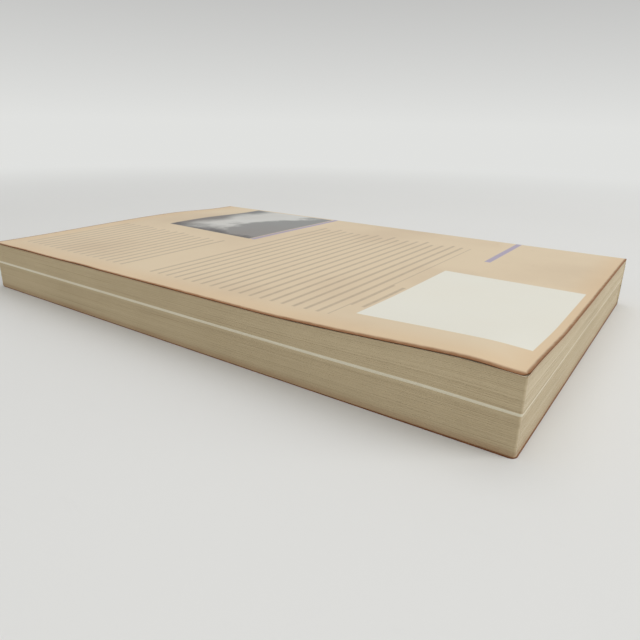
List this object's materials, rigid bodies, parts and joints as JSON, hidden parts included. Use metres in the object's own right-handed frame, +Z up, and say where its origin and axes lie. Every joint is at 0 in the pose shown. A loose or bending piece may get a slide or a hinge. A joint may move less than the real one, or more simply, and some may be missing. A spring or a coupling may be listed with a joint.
{
  "type": "paperback book",
  "caption": "Trade paperback lying closed on its front cover, with leaves glued at the spine and both covers hinged to open.",
  "frame": {"origin": "under the middle of the closed book, on the surface that its front cover rests on", "axes": "+X from the fore edge to the spine, +Y from the tail to the head, +Z up through the back cover"},
  "size_m": [0.1396, 0.216, 0.0211],
  "materials": {
    "page_paper": "matte, yellowed at the trimmed edges",
    "coated_paper": "coated, slightly glossy",
    "cover_card": "smooth printed card, lightly worn",
    "binding_glue": "hot-melt adhesive"
  },
  "bodies": {
    "block": {"text_pages": "page_paper", "photo_plates": "coated_paper", "spine_glue": "binding_glue", "cover_spine": "cover_card"},
    "front_cover": {"cover_front": "cover_card"},
    "back_cover": {"cover_back": "cover_card"}
  },
  "joints": [
    {"name": "back_cover_hinge", "type": "hinge", "parent": "block", "child": "back_cover", "pos_m": [0.06985, 0, 0.0185], "axis": [0, 1, 0], "range_deg": [0, 179]},
    {"name": "front_cover_hinge", "type": "hinge", "parent": "block", "child": "front_cover", "pos_m": [0.06985, 0, 0.0003], "axis": [0, -1, 0], "range_deg": [0, 179]}
  ]
}
